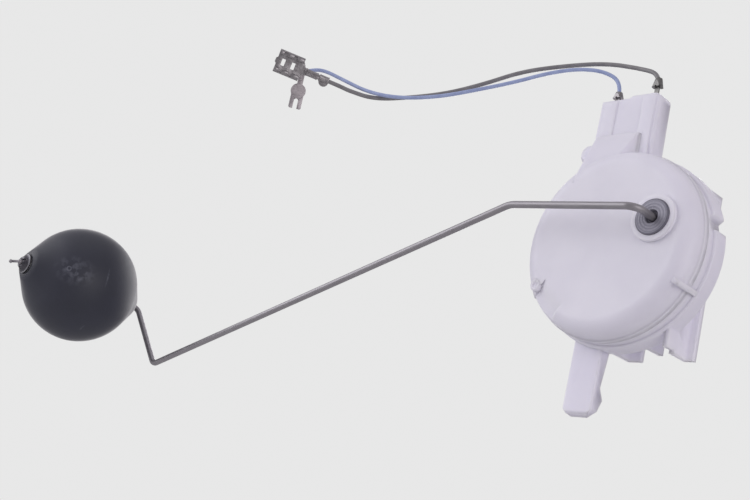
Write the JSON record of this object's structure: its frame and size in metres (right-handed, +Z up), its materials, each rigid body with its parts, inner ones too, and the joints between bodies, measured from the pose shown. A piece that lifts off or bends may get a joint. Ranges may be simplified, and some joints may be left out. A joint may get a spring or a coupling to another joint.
{
  "type": "fuel level sensor",
  "caption": "Fuel tank level sender: round plastic drum with connector neck, snap leg and rear rails, bent float arm with a foam ball float, and short leads with crimp terminals.",
  "frame": {"origin": "middle of the drum's axis in the plane of the rear rail faces, on the flange of the near rail", "axes": "+Y out of the rear of the drum along its axis, +Z up along the neck, -X towards the float"},
  "size_m": [0.2716, 0.0931, 0.1142],
  "materials": {
    "housing_plastic": "milky translucent",
    "cover_plastic": "milky translucent",
    "bush_metal": "sintered grey",
    "arm_wire": "drawn steel",
    "nut_steel": "zinc plated",
    "float_foam": "closed-cell foam, matt",
    "hub_plastic": "natural",
    "washer_plastic": "plain",
    "contact_brass": "rolled strip",
    "card_board": "laminate",
    "winding_wire": "fine wire",
    "screw_steel": "zinc plated",
    "tinned_brass": "tinned",
    "black_insulation": "satin insulation",
    "blue_insulation": "satin insulation",
    "tinned_terminal": "tinned"
  },
  "bodies": {
    "housing": {"rear_housing": "housing_plastic", "front_cover": "cover_plastic", "front_bush": "bush_metal", "rear_bush": "bush_metal", "thrust_washer": "washer_plastic", "resistor_card": "card_board", "resistor_winding": "winding_wire", "card_screw_upper": "screw_steel", "card_screw_lower": "screw_steel", "ground_spring": "contact_brass", "spring_rivet": "screw_steel", "signal_strip": "tinned_brass", "ground_strip": "tinned_brass", "black_lead": "black_insulation", "blue_lead": "blue_insulation", "spade_terminal": "tinned_terminal", "fork_terminal": "tinned_terminal"},
    "arm": {"float_arm": "arm_wire", "push_nut": "nut_steel", "rotor_hub": "hub_plastic", "collector_ring": "contact_brass", "retaining_clip": "nut_steel", "wiper_blade": "contact_brass", "wiper_contact": "contact_brass"},
    "float": {"float_ball": "float_foam"}
  },
  "joints": [
    {"name": "arm_swing", "type": "hinge", "parent": "housing", "child": "arm", "pos_m": [0.0163, -0.0258, 0.0053], "axis": [0, 1, 0], "range_deg": [-40, 36]},
    {"name": "float_spin", "type": "hinge", "parent": "arm", "child": "float", "pos_m": [-0.21931, -0.062, -0.02391], "axis": [0, 1, 0], "continuous": true}
  ]
}
